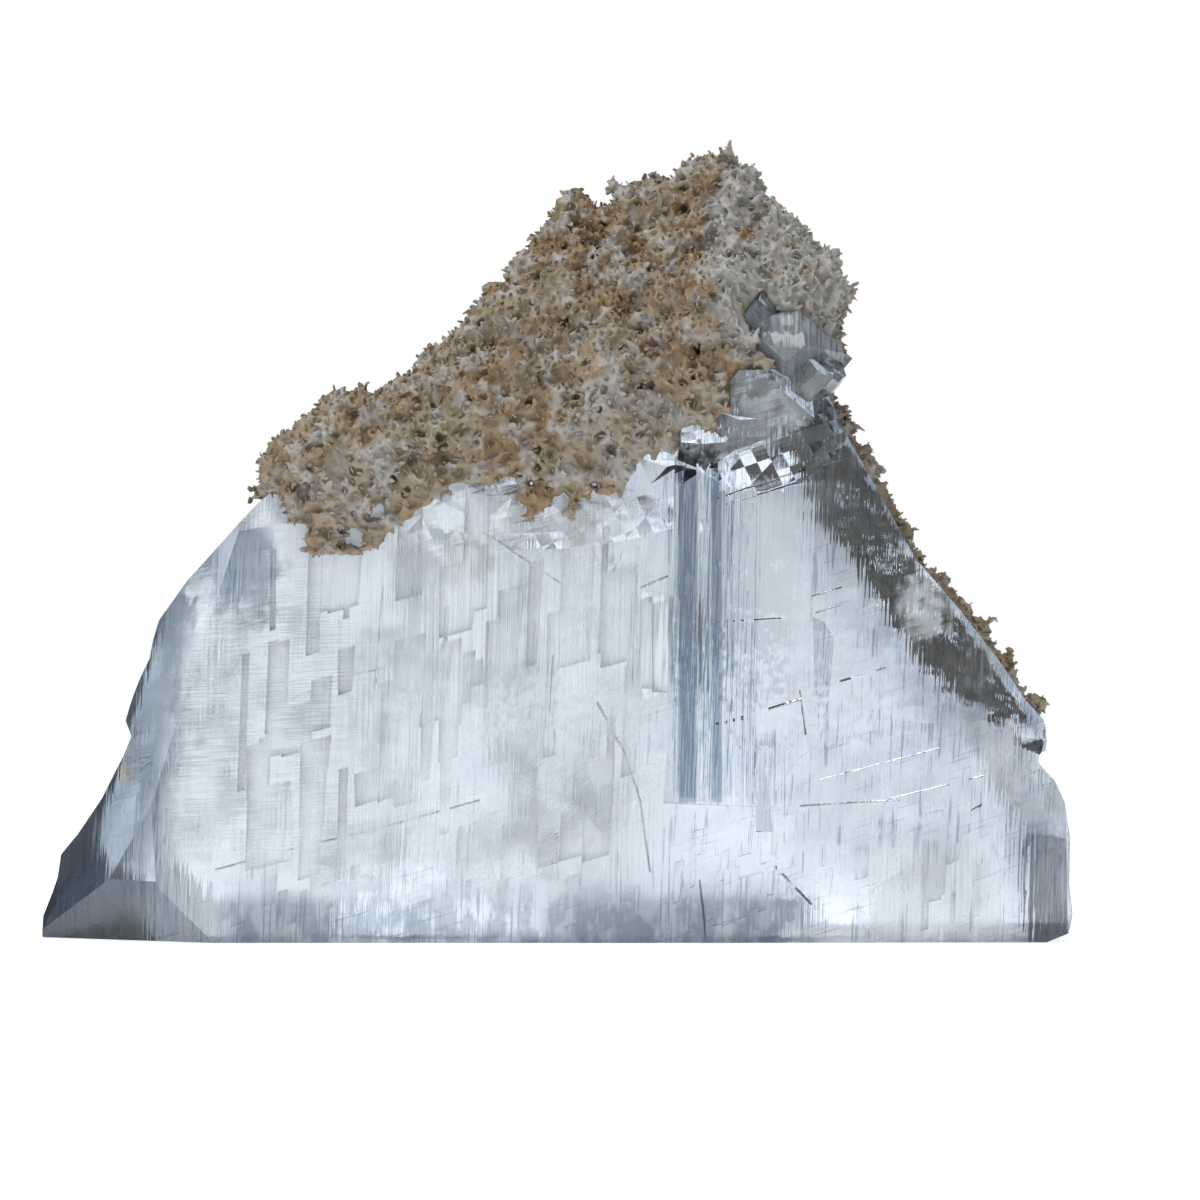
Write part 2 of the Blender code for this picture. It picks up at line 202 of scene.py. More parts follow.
form = bmesh.new()
bmesh.ops.create_circle(form, cap_ends=True, segments=FLOOR_SIDES, radius=FLOOR_RADIUS)
bmesh.ops.translate(form, vec=(0, 0, -FLOOR_GAP), verts=form.verts)
floor_mesh = bpy.data.meshes.new("floor")
form.to_mesh(floor_mesh)
form.free()
stage = bpy.data.objects.new("floor", floor_mesh)
bpy.context.scene.collection.objects.link(stage)
stage_material, start = new_finish("pale_floor")
paper = start.node("BsdfPrincipled", {}, {
    "Base Color": shown(PAPER_COLOUR), "Roughness": 0.8,
    "Emission Color": (1, 1, 1, 1), "Emission Strength": PAPER_GLOW,
})
close_finish(start, paper)
stage.data.materials.append(stage_material)
print("floor:", FLOOR_RADIUS, "m in radius")


# %% Lights
def softbox(name, place, aim_at, size, power, colour):
    """A rectangular area lamp at a place, turned to a point."""
    data = bpy.data.lights.new(name, "AREA")
    data.shape = "RECTANGLE"
    data.size, data.size_y = size
    data.energy = power
    data.color = colour
    lamp = bpy.data.objects.new(name, data)
    lamp.location = place
    lamp.rotation_euler = (Vector(aim_at) - Vector(place)).to_track_quat("-Z", "Y").to_euler()
    bpy.context.scene.collection.objects.link(lamp)


STONE_MIDDLE = (0, 0, 0.09)
WARM_WHITE = (1.0, 0.985, 0.96)
COOL_WHITE = (0.95, 0.98, 1.0)

softbox("above", (-0.25, -0.20, 1.2), STONE_MIDDLE, (0.9, 0.7), 11, WARM_WHITE)
softbox("left", (-1.3, -0.9, 0.55), STONE_MIDDLE, (0.6, 0.8), 4, COOL_WHITE)

# %% The room
ROOM_BRIGHT = (0.79, 0.82, 0.86)
ROOM_DIM = (0.23, 0.275, 0.335)
BRIGHT_FROM = 0.90
BRIGHT_WHOLLY = 0.985
WHITE_PAPER = (1, 1, 1)

world = bpy.data.worlds.new("room")
world.use_nodes = True
world.node_tree.nodes.clear()
start = Field(world.node_tree)
direction = start.node("TexCoord", output="Generated")
ahead = start.node("SeparateXYZ", {}, {0: direction}, output="Y")
bright = ahead.maths("ABSOLUTE", ahead).between(BRIGHT_FROM, BRIGHT_WHOLLY)
to_the_eye = start.node("LightPath", output="Is Camera Ray")
room_colour = to_the_eye.blend(bright.blend(ROOM_DIM, ROOM_BRIGHT), WHITE_PAPER)
backdrop = start.node("Background", {}, {"Color": room_colour, "Strength": 1.0})
world_output = world.node_tree.nodes.new("ShaderNodeOutputWorld")
world.node_tree.links.new(backdrop.socket, world_output.inputs["Surface"])
world.cycles.sampling_method = "NONE"
bpy.context.scene.world = world
bpy.context.scene.view_settings.view_transform = "Standard"

# %% Light paths
CLEAR_BOUNCES = 5

cycles = bpy.context.scene.cycles
cycles.max_bounces = CLEAR_BOUNCES
cycles.diffuse_bounces = 1
cycles.glossy_bounces = 2
cycles.transmission_bounces = CLEAR_BOUNCES
print("light passes up to", CLEAR_BOUNCES, "surfaces")

# %% [markdown]
# ## Working copies of the solids
#
# The frame's meshes are never changed. A finer piece starts from a merged copy of one, and then
# stands in for it.


# %% Helpers for meshes
MERGE_DISTANCE = 0.00001
FLAT_ANGLE = math.radians(0.5)


def new_piece(name, mesh):
    piece = bpy.data.objects.new(name, mesh)
    bpy.context.scene.collection.objects.link(piece)
    return piece


def merged_copy(node, name):
    """A copy of a node of the frame, with its loose triangles merged into one surface."""
    form = bmesh.new()
    form.from_mesh(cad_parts[node].data)
    bmesh.ops.remove_doubles(form, verts=form.verts, dist=MERGE_DISTANCE)
    bmesh.ops.dissolve_limit(form, angle_limit=FLAT_ANGLE, verts=form.verts, edges=form.edges)
    mesh = bpy.data.meshes.new(name)
    form.to_mesh(mesh)
    form.free()
    return new_piece(name, mesh)


def apply_modifiers(piece):
    """Puts the piece's evaluated mesh in place of its mesh and its modifiers."""
    bpy.context.view_layer.update()
    evaluated = piece.evaluated_get(bpy.context.evaluated_depsgraph_get())
    mesh = bpy.data.meshes.new_from_object(evaluated)
    piece.modifiers.clear()
    piece.data = mesh
    return piece


def triangles(piece):
    """How many triangles a piece's faces come to."""
    return sum(len(face.vertices) - 2 for face in piece.data.polygons)


def surface_tree(node):
    """A node of the frame, ready to be asked for its nearest point."""
    return BVHTree.FromObject(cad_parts[node], bpy.context.evaluated_depsgraph_get())


slab_tree = surface_tree("selenite_slab")
crust_tree = surface_tree("crust")

# %% [markdown]
# ## The crust's skin
#
# The crust is a sponge of small crystals. Its skin is the solid, remeshed evenly and then moved in
# and out by cells of noise: deep pits with thin walls between them. Where it has grown on the
# slab it reaches a little way in, so that it is seen through the crystal with no air between.

# %% The crust's skin
CRUST_VOXEL = 0.00068
PIT_SPACING = 0.0029
PIT_DEPTH = 0.0030
LUMP_SIZE = 0.0075
LUMP_HEIGHT = 0.0013
GRAIN_SIZE = 0.0011
GRAIN_HEIGHT = 0.0003
PIT_CHANCE_SHIFT = Vector((3.1, 8.2, 4.4))
ROOT_DEPTH = 0.0007
ROOT_REACH = 0.0014

# Crystals stand where the skin is less seated on the slab, and less hollow, than this.
SEATED = 0.3
DEEP_PIT = 0.55

# The pits' radius and the walls' width are parts of the spacing, and the height of the depth.
PIT_RADIUS = 0.62
WALL_WIDTH = 0.22
WALL_HEIGHT = 0.30

CALM_PLACE = at(790, 270, 0.02)
CALM_RADII = (0.019, 0.032, 0.030)
CALM_RAGGEDNESS = 0.35
CALM_RAG_SIZE = 0.008


def calmness(point):
    """1 in the smoother white part of the crust, on the right, and 0 away from it."""
    offset = point - CALM_PLACE
    far = math.sqrt(sum((offset[axis] / CALM_RADII[axis]) ** 2 for axis in range(3)))
    ragged = CALM_RAGGEDNESS * noise.noise(point / CALM_RAG_SIZE)
    return max(0.0, min(1.0, (1.25 + ragged - far) / 0.5))


def crust_relief(point):
    """How far the crust's skin moves out at a point, and how hollow it is there, from 0 to 1."""
    near, _ = noise.voronoi(point / PIT_SPACING)
    chance = 0.5 + 0.5 * noise.noise(point / (2.1 * PIT_SPACING) + PIT_CHANCE_SHIFT)
    pit = max(0.0, 1 - near[0] / PIT_RADIUS) ** 0.8 * (0.35 + 0.9 * chance)
    wall = max(0.0, 1 - (near[1] - near[0]) / WALL_WIDTH)
    calm = 1 - 0.65 * calmness(point)
    lump = noise.fractal(point / LUMP_SIZE, 1.0, 2.0, 3)
    grain = noise.noise(point / GRAIN_SIZE)
    pitted = calm * PIT_DEPTH * (WALL_HEIGHT * wall - pit)
    return LUMP_HEIGHT * lump + GRAIN_HEIGHT * grain + pitted, min(1.0, pit * 1.2)


def make_crust_skin():
    """The crust's solid with its relief. The attribute growth is 1 where crystals stand."""
    piece = merged_copy("crust", "crust_skin")
    skin = piece.modifiers.new("even_skin", "REMESH")
    skin.mode = "VOXEL"
    skin.voxel_size = CRUST_VOXEL
    apply_modifiers(piece)
    form = bmesh.new()
    form.from_mesh(piece.data)
    form.normal_update()
    growth = form.verts.layers.float.new("growth")
    moves = []
    for vert in form.verts:
        move, hollow = crust_relief(vert.co)
        place, _, _, distance = slab_tree.find_nearest(vert.co)
        rooted = max(0.0, 1 - distance / ROOT_REACH)
        faces_slab = max(0.0, vert.normal.dot((place - vert.co).normalized()))
        seat = rooted * faces_slab
        vert[growth] = 1.0 if seat < SEATED and hollow < DEEP_PIT else 0.0
        moves.append((vert, vert.normal * (move * (1 - seat) + ROOT_DEPTH * seat)))
    for vert, move in moves:
        vert.co += move
    mesh = bpy.data.meshes.new("crust_skin")
    form.to_mesh(mesh)
    form.free()
    piece.data = mesh
    return piece


crust_skin = make_crust_skin()
print("crust skin, before its crystals are fused to it:", triangles(crust_skin), "triangles")

# %% [markdown]
# ## The crust's crystals
#
# Thousands of small flat crystals stand on the skin. A few leaf shapes are modelled once, and
# Geometry Nodes scatters copies of them with their own size, turn and tint, and makes them mesh.
# Most are then fused to the skin by one voxel remesh, as they have grown together on the real
# stone. A second, finer scatter leaves some crisp tips.

# %% Leaf shapes
LEAF_SHAPES = 6
LEAF_SIDES = 6
FOOT_RADIUS = 0.44
TIP_RADIUS = 0.27
WAIST = 1.25
TIP_SLANT = 0.35
RAISED = 0.30
WIDTHS = (0.85, 1.15)
FLATNESS = (0.30, 0.46)


def leaf_shape(number):
    """A flat crystal with a blunt, slanting tip. Its attribute tip runs from 0 at its foot to 1."""
    dice = random.Random(number)
    form = bmesh.new()
    bmesh.ops.create_cone(
        form, cap_ends=True, segments=LEAF_SIDES, radius1=FOOT_RADIUS, radius2=TIP_RADIUS, depth=1.0,
    )
    side_edges = [edge for edge in form.edges if abs(edge.verts[0].co.z - edge.verts[1].co.z) > 0.5]
    bmesh.ops.subdivide_edges(form, edges=side_edges, cuts=1)
    for vert in form.verts:
        swell = WAIST if abs(vert.co.z) < 0.1 else 1.0
        slant = TIP_SLANT * vert.co.x if vert.co.z > 0.3 else 0.0
        vert.co.x *= swell * dice.uniform(*WIDTHS)
        vert.co.y *= swell * dice.uniform(*FLATNESS)
        vert.co.z += slant + RAISED
    bmesh.ops.recalc_face_normals(form, faces=form.faces)
    tip = form.verts.layers.float.new("tip")
    for vert in form.verts:
        vert[tip] = max(0.0, min(1.0, vert.co.z / (0.5 + RAISED)))
    mesh = bpy.data.meshes.new(f"leaf_{number}")
    form.to_mesh(mesh)
    form.free()
    return mesh


leaf_collection = bpy.data.collections.new("leaf shapes")
for number in range(LEAF_SHAPES):
    leaf_collection.objects.link(bpy.data.objects.new(f"leaf_{number}", leaf_shape(number)))
print(LEAF_SHAPES, "leaf shapes")

# %% Scattering the leaves
LEAF_SPACING = 0.0015
LEAF_SIZE = (0.0014, 0.0029)
LEAF_LEAN = 0.5

# How many points are tried on each square of the spacing.
CROWDING = 4.0


def scatter(name, base, density_name, spacing, sizes, lean, seed):
    """Copies of the leaf shapes on a base mesh, each a little turned, as one real mesh."""
    tree = bpy.data.node_groups.new(name, "GeometryNodeTree")
    tree.interface.new_socket("Geometry", in_out="INPUT", socket_type="NodeSocketGeometry")
    tree.interface.new_socket("Geometry", in_out="OUTPUT", socket_type="NodeSocketGeometry")

    def add(kind, settings=None, inputs=None):
        node = tree.nodes.new(kind)
        for key, value in (settings or {}).items():
            setattr(node, key, value)
        for key, value in (inputs or {}).items():
            if isinstance(value, bpy.types.NodeSocket):
                tree.links.new(value, node.inputs[key])
            else:
                node.inputs[key].default_value = value
        return node

    start_node = add("NodeGroupInput")
    density = add("GeometryNodeInputNamedAttribute", {"data_type": "FLOAT"}, {"Name": density_name})
    points = add("GeometryNodeDistributePointsOnFaces", {"distribute_method": "POISSON"}, {
        "Mesh": start_node.outputs[0], "Distance Min": spacing, "Density Max": CROWDING / spacing ** 2,
        "Density Factor": density.outputs[0], "Seed": seed,
    })
    turn = add("FunctionNodeRandomValue", {"data_type": "FLOAT_VECTOR"}, {
        0: (-lean, -lean, -math.pi), 1: (lean, lean, math.pi), "Seed": seed + 1,
    })
    turned = add("FunctionNodeRotateRotation", {"rotation_space": "LOCAL"}, {
        0: points.outputs["Rotation"], 1: turn.outputs[0],
    })
    size = add("FunctionNodeRandomValue", {"data_type": "FLOAT"}, {
        2: sizes[0], 3: sizes[1], "Seed": seed + 2,
    })
    choice = add("FunctionNodeRandomValue", {"data_type": "INT"}, {
        4: 0, 5: LEAF_SHAPES - 1, "Seed": seed + 3,
    })
    shapes = add("GeometryNodeCollectionInfo", {}, {
        "Collection": leaf_collection, "Separate Children": True, "Reset Children": True,
    })
    copies = add("GeometryNodeInstanceOnPoints", {}, {
        "Points": points.outputs["Points"], "Instance": shapes.outputs[0], "Pick Instance": True,
        "Instance Index": choice.outputs[2], "Rotation": turned.outputs[0], "Scale": size.outputs[1],
    })
    tint = add("FunctionNodeRandomValue", {"data_type": "FLOAT"}, {2: 0.0, 3: 1.0, "Seed": seed + 4})
    tinted = add("GeometryNodeStoreNamedAttribute", {"data_type": "FLOAT", "domain": "INSTANCE"}, {
        "Geometry": copies.outputs[0], "Name": "tint", "Value": tint.outputs[1],
    })
    real = add("GeometryNodeRealizeInstances", {}, {"Geometry": tinted.outputs[0]})
    end_node = add("NodeGroupOutput")
    tree.links.new(real.outputs[0], end_node.inputs[0])

    piece = new_piece(name, base.data.copy())
    grow = piece.modifiers.new("scatter", "NODES")
    grow.node_group = tree
    return apply_modifiers(piece)


# %% Fusing the crystals
FUSE_VOXEL = 0.00052
SKIN_TRIANGLES = 190000

# The attribute proud runs from 0 to 1 over this range, in metres, and is 0.5 on the solid.
PROUD_RANGE = 0.005
PROUD_ENOUGH = 0.42


def fuse_crystals(skin, crystals):
    """One surface round the skin and its crystals. The attribute proud is low in the pits."""
    form = bmesh.new()
    form.from_mesh(skin.data)
    form.from_mesh(crystals.data)
    mesh = bpy.data.meshes.new("crust_skin")
    form.to_mesh(mesh)
    form.free()
    skin.data = mesh
    fused = skin.modifiers.new("fused", "REMESH")
    fused.mode = "VOXEL"
    fused.voxel_size = FUSE_VOXEL
    apply_modifiers(skin)
    before = triangles(skin)
    if before > SKIN_TRIANGLES:
        thin = skin.modifiers.new("thinned", "DECIMATE")
        thin.ratio = SKIN_TRIANGLES / before
        apply_modifiers(skin)
    form = bmesh.new()
    form.from_mesh(skin.data)
    proud = form.verts.layers.float.new("proud")
    growth = form.verts.layers.float.new("growth")
    for vert in form.verts:
        place, normal, _, _ = crust_tree.find_nearest(vert.co)
        vert[proud] = 0.5 + (vert.co - place).dot(normal) / PROUD_RANGE
        _, _, _, to_slab = slab_tree.find_nearest(vert.co)
        vert[growth] = 1.0 if to_slab > ROOT_REACH and vert[proud] > PROUD_ENOUGH else 0.0
    mesh = bpy.data.meshes.new("crust_skin")
    form.to_mesh(mesh)
    form.free()
    mesh.shade_smooth()
    skin.data = mesh
    return before


first_crystals = scatter("first_crystals", crust_skin, "growth", LEAF_SPACING, LEAF_SIZE, LEAF_LEAN, 3)
print("crystals to fuse:", triangles(first_crystals), "triangles")
before = fuse_crystals(crust_skin, first_crystals)
bpy.data.objects.remove(first_crystals)
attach(crust_skin, "root")
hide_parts("crust")
print("crust skin:", before, "triangles when fused,", triangles(crust_skin), "when thinned")

# %% Crisp tips
TIP_SPACING = 0.0017
TIP_SIZE = (0.0008, 0.0018)
TIP_LEAN = 0.6

crust_leaves = scatter("crust_leaves", crust_skin, "growth", TIP_SPACING, TIP_SIZE, TIP_LEAN, 11)
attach(crust_leaves, "root")
print("crust leaves:", triangles(crust_leaves), "triangles")

# %% [markdown]
# ## The crust's finish
#
# Fresh gypsum is white, and clay has stained it tan, most on the top. The pits, and the feet of the
# crystals, are painted dark brown as shade, and on the skin the pale colour keeps to the proud parts.
# The pits are known from the mesh: the skin carries how proud each point is. The white parts are
# soft spots at their columns and rows, which reach through the crust from front to back.


# %% Columns and rows as fields
def column_and_row(start):
    """The column and the row of the photograph as fields, worked out from the object's place."""
    place = start.node("TexCoord", output="Object")
    split = place.node("SeparateXYZ", {}, {0: place}, output="X")
    column = split * (1 / PX) + MIDDLE_COLUMN
    height = place.node("SeparateXYZ", {}, {0: place}, output="Z")
    row = BASE_ROW - height * (1 / PX)
    return column, row


def spot(column, row, middle, radii, softness=0.6):
    """A soft round spot: 1 in the middle and 0 outside, with its middle and radii in pixels."""
    across = (column - middle[0]) * (1 / radii[0])
    down = (row - middle[1]) * (1 / radii[1])
    far = across * across + down * down
    return 1 - far.between(1 - softness, 1 + softness)


def band(field, low, high, soft):
    """1 between two values of a field, with soft edges."""
    return field.between(low - soft, low + soft) * (1 - field.between(high - soft, high + soft))


def even_noise(start, scale, detail=1, roughness=0.5):
    """Noise on the object's own place. The scale is a number, or one for each axis."""
    scale = scale if isinstance(scale, tuple) else (scale, scale, scale)
    values = {"Vector": stretched(start, scale), "Scale": 1.0, "Detail": detail, "Roughness": roughness}
    return start.node("TexNoise", {}, values)


# %% The crust's finish
TAN = (0.225, 0.138, 0.062)
PALE_TAN = (0.270, 0.205, 0.128)
# Dark brown, painted as shade in the skin's pits and at the crystals' feet.
PAINTED_SHADE_BROWN = (0.048, 0.024, 0.008)
GYPSUM_WHITE = (0.38, 0.37, 0.345)
GYPSUM_IOR = 1.52
BROAD_NOISE, PATCH_NOISE, FINE_NOISE = 70, 190, 900
LOW_CRUST, HIGH_CRUST = 0.10, 0.17
FLUTED_SPOT = (785, 262), (78, 105), 0.5
WHITE_SPOTS = [
    (((745, 200), (40, 60)), 0.5), (((640, 440), (60, 60)), 0.5), (((330, 500), (70, 50)), 0.4),
]


def crust_finish(name, leaves):
    """The finish of the skin, with painted shade in its pits, or of the leaves, with painted shade at the
    foot.
    """
    material, start = new_finish(name)
    broad = even_noise(start, BROAD_NOISE)
    patch = even_noise(start, PATCH_NOISE)
    fine = even_noise(start, FINE_NOISE)
    place = start.node("TexCoord", output="Object")
    height = start.node("SeparateXYZ", {}, {0: place}, output="Z")
    lowness = 1 - height.between(LOW_CRUST, HIGH_CRUST)
    tan = (broad.between(0.36, 0.60) * 0.8 + lowness * 0.3).blend(TAN, PALE_TAN)
    column, row = column_and_row(start)
    fluted = spot(column, row, *FLUTED_SPOT)
    for white_spot, strength in WHITE_SPOTS:
        fluted = fluted + spot(column, row, *white_spot) * strength
    white = fluted.between(0.1, 0.9) * patch.between(0.25, 0.45)
    if leaves:
        tint = start.node("Attribute", {"attribute_name": "tint"}, output="Fac")
        tip = start.node("Attribute", {"attribute_name": "tip"}, output="Fac")
        # Painted shade: the crystals' feet are dark brown.
        body = tip.between(-0.7, 0.35).blend(PAINTED_SHADE_BROWN, tan)
        pale = patch.between(0.46, 0.64) * 0.5 + tint * 0.2
    else:
        proud = start.node("Attribute", {"attribute_name": "proud"}, output="Fac")
        # Painted shade: the pits, where proud is low, are dark brown, and the pale colour keeps to proud
        # parts.
        body = proud.between(0.10, 0.50).blend(PAINTED_SHADE_BROWN, tan)
        pale = patch.between(0.46, 0.64) * proud.between(0.3, 0.75) * 0.75
    colour = (white * 0.8 + pale * (1 - white * 0.8)).blend(body, GYPSUM_WHITE)
    rough = fine.between(0.3, 0.7, 0.40, 0.75)
    bump = start.node("Bump", {}, {"Height": fine, "Strength": 0.6, "Distance": 0.0005})
    shader = start.node("BsdfPrincipled", {}, {
        "Base Color": colour, "Roughness": rough, "Normal": bump, "IOR": GYPSUM_IOR,
    })
    close_finish(start, shader)
    return material


crust_skin.data.materials.clear()
crust_skin.data.materials.append(crust_finish("crust_skin", leaves=False))
crust_leaves.data.materials.clear()
crust_leaves.data.materials.append(crust_finish("crust_leaves", leaves=True))
print("the crust has", len(crust_skin.data.materials) + len(crust_leaves.data.materials), "finishes")

# %% [markdown]
# ## The slab's relief
#
# Selenite splits into sheets, so its faces are flat terraces with straight edges. Two directions
# show on the front: one almost upright, and one that rises a little to the right. Each terrace is
# a shallow cutter, and one Boolean takes them all away. A cutter with a slanting floor bends the
# light to the side, which makes a grey or a bright bar.

# %% Cutters for terraces and grooves
relief_cutters = bpy.data.collections.new("relief cutters")
OUTSIDE = 0.004


def add_cutter(form):
    """Keeps a closed form as one of the cutters."""
    bmesh.ops.recalc_face_normals(form, faces=form.faces)
    mesh = bpy.data.meshes.new("cutter")
    form.to_mesh(mesh)
    form.free()
    relief_cutters.objects.link(bpy.data.objects.new("cutter", mesh))


def terrace(outline, depth, tilt=0.0, back=False):
    """A cutter with a flat floor. The floor is deeper to the right by the tilt, a slope."""
    surface, outward = (BACK_Y, 1) if back else (FRONT_Y, -1)
    middle = sum(column for column, _ in outline) / len(outline)
    form = bmesh.new()
    verts = []
    for column, row in outline:
        sunk = depth + tilt * (column - middle) * PX
        place = at(column, row)
        verts.append(form.verts.new((place.x, surface - outward * sunk, place.z)))
    floor = form.faces.new(verts)
    raised = bmesh.ops.extrude_face_region(form, geom=[floor])
    tops = [item for item in raised["geom"] if isinstance(item, bmesh.types.BMVert)]
    for vert in tops:
        vert.co.y = surface + outward * OUTSIDE
    add_cutter(form)


def groove(start, end, width, sunk):
    """A straight V groove in the front, as wide as it says, in pixels, on a face sunk so far."""
    first, last = at(*start), at(*end)
    form = bmesh.new()
    bmesh.ops.create_cube(form, size=1)
    along = last - first
    size = width * PX / math.sqrt(2)
    heading = Matrix.Rotation(math.atan2(-along.z, along.x), 4, "Y")
    on_edge = Matrix.Rotation(math.radians(45), 4, "X")
    shape = heading @ on_edge @ Matrix.Diagonal((along.length, size, size, 1))
    middle = Vector(((first.x + last.x) / 2, FRONT_Y + sunk, (first.z + last.z) / 2))
    bmesh.ops.transform(form, matrix=Matrix.Translation(middle) @ shape, verts=form.verts)
    add_cutter(form)


# %% Bars and lines that the photograph shows
WINDOW_SUNK = 0.0030

# Each bar: left and right column, top and bottom row, depth in metres, and slope.
BARS = [
    (640, 652, 596, 688, 0.0006, 0.30), (652, 668, 600, 692, 0.0009, -0.35),
    (668, 676, 476, 800, 0.0012, 0.25), (674, 684, 470, 802, 0.0036, -0.45),
    (698, 709, 462, 800, 0.0038, 0.45), (719, 726, 470, 802, 0.0037, -0.5),
    (727, 733, 500, 802, 0.0034, 0.4), (735, 741, 560, 803, 0.0036, -0.4),
    (744, 749, 590, 803, 0.0034, 0.3), (752, 757, 620, 804, 0.0036, -0.5),
    (786, 796, 812, 888, 0.0024, 0.3), (770, 780, 816, 872, 0.0010, -0.4),
]

# Each line: where it starts and ends, its width in pixels, and how far its face is sunk.
LINES = [
    ((722, 724), (802, 699), 3.0, WINDOW_SUNK), ((700, 727), (760, 716), 2.2, WINDOW_SUNK),
    ((712, 500), (850, 456), 2.0, WINDOW_SUNK), ((724, 505), (800, 482), 1.6, WINDOW_SUNK),
    ((838, 682), (886, 668), 2.4, WINDOW_SUNK), ((798, 601), (856, 583), 1.8, WINDOW_SUNK),
    ((816, 613), (862, 598), 1.6, WINDOW_SUNK), ((718, 622), (800, 617), 1.4, WINDOW_SUNK),
    ((800, 690), (806, 735), 1.6, WINDOW_SUNK), ((640, 588), (682, 570), 2.2, 0.0),
    ((290, 700), (343, 677), 2.4, 0.0), ((343, 677), (384, 668), 1.6, 0.0),
    ((383, 585), (375, 690), 2.0, 0.0), ((480, 530), (583, 598), 1.8, 0.0),
    ((597, 702), (624, 752), 2.6, 0.0), ((624, 752), (640, 800), 2.4, 0.0),
    ((640, 800), (650, 872), 2.2, 0.0), ((436, 600), (430, 700), 1.6, 0.0),
    ((215, 870), (280, 852), 2.2, 0.0), ((280, 852), (380, 828), 2.0, 0.0),
    ((380, 828), (480, 800), 1.8, 0.0), ((590, 545), (612, 588), 2.6, 0.0),
    ((600, 540), (606, 586), 2.0, 0.0), ((625, 548), (604, 590), 2.0, 0.0),
    ((262, 760), (278, 650), 1.4, 0.0), ((550, 712), (553, 655), 3.0, 0.0),
    ((960, 818), (1040, 770), 2.4, 0.0014), ((885, 800), (1000, 772), 1.6, 0.0014),
    ((800, 806), (900, 800), 2.0, 0.0014), ((820, 780), (940, 748), 1.4, 0.0014),
    ((762, 853), (812, 905), 2.6, 0.0022), ((700, 880), (706, 940), 2.0, 0.0012),
]

# Two deep dark splinters with slanting floors.
SLIVER = [(813, 617), (824, 622), (834, 640), (829, 700), (821, 742), (815, 700)]
SPIKE = [(757, 738), (766, 770), (773, 832), (756, 832)]

for left, right, top, bottom, depth, tilt in BARS:
    terrace([(left, bottom), (left, top + 4), (right, top), (right, bottom + 1)], depth, tilt)
for first, last, width, sunk in LINES:
    groove(first, last, width, sunk)
terrace(SLIVER, depth=0.0048, tilt=0.8)
terrace(SPIKE, depth=0.0052, tilt=-0.7)
print(len(BARS), "bars,", len(LINES), "lines and two splinters")

# %% Small random terraces
UPRIGHT_LEAN = 0.03
RISE = 0.27
FLOOR_TILT = 0.06

# Each patch: how many, columns, rows, widths and lengths in pixels, depths in metres, and seed.
FRONT_PATCHES = [
    (60, (230, 650), (600, 930), (5, 34), (24, 150), (0.00012, 0.0005), 21),
    (16, (690, 860), (560, 790), (3, 26), (20, 120), (0.0031, 0.0035), 22),
    (22, (650, 860), (850, 935), (4, 18), (16, 60), (0.0023, 0.0030), 23),
    (22, (900, 1060), (830, 935), (3, 22), (24, 110), (0.0037, 0.0042), 24),
    (24, (230, 650), (905, 940), (4, 18), (14, 46), (0.0013, 0.0019), 25),
]
BACK_PATCH = (80, (200, 1000), (560, 935), (5, 40), (24, 190), (0.0002, 0.0010), 26)


def small_terraces(count, columns, rows, widths, lengths, depths, seed, back=False):
    """Narrow shallow terraces along the upright cleavage, with ends cut along the rising one."""
    dice = random.Random(seed)
    for _ in range(count):
        column = dice.uniform(*columns)
        row = dice.uniform(*rows)
        wide = dice.uniform(*widths)
        tall = dice.uniform(*lengths)
        lean = UPRIGHT_LEAN * tall + dice.uniform(-2, 2)
        rise = RISE * wide
        foot_width = wide * dice.uniform(0.6, 1.1)
        outline = [
            (column, row), (column + lean, row - tall),
            (column + lean + wide, row - tall - rise), (column + foot_width, row - rise),
        ]
        terrace(outline, dice.uniform(*depths), dice.uniform(-FLOOR_TILT, FLOOR_TILT), back)


for patch in FRONT_PATCHES:
    small_terraces(*patch)
small_terraces(*BACK_PATCH, back=True)

# %% Cutting the relief
slab = merged_copy("selenite_slab", "clear_slab")
cut = slab.modifiers.new("relief", "BOOLEAN")
cut.operand_type = "COLLECTION"
cut.collection = relief_cutters
cut.operation = "DIFFERENCE"
apply_modifiers(slab)
form = bmesh.new()
form.from_mesh(slab.data)
open_edges = sum(1 for edge in form.edges if len(edge.link_faces) != 2)
form.free()
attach(slab, "root")
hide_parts("selenite_slab")
print("slab:", triangles(slab), "triangles,", open_edges, "edges not shared by two faces")

# %% [markdown]
# ## The slab's finish
#
# The crystal is clear: full transmission, gypsum's index of refraction, and a little blue-grey
# absorption. Over that lie streaks where its sheets have parted, which are milky, and grey lines
# where they have cracked. The left band, the foot and the dark bars have painted shade in the same
# grey, and the bright bars a painted highlight of milk. Fields of column and row place them as on
# the real slab.


# %% Fine lines in one direction
# How far a line goes into the slab, in metres.
LINE_DEPTH = 0.03


def lines(start, along, across, angle, shift=0.0):
    """Noise drawn out into lines: their length, width, and angle in degrees from level."""
    values = {
        "Vector": start.node("TexCoord", output="Object"), "Scale": (along, LINE_DEPTH, across),
        "Rotation": (0, math.radians(-angle), 0), "Location": (shift, shift, 0),
    }
    turned = start.node("Mapping", {"vector_type": "TEXTURE"}, values)
    return start.node("TexNoise", {}, {"Vector": turned, "Scale": 1.0, "Detail": 1, "Roughness": 0.6})


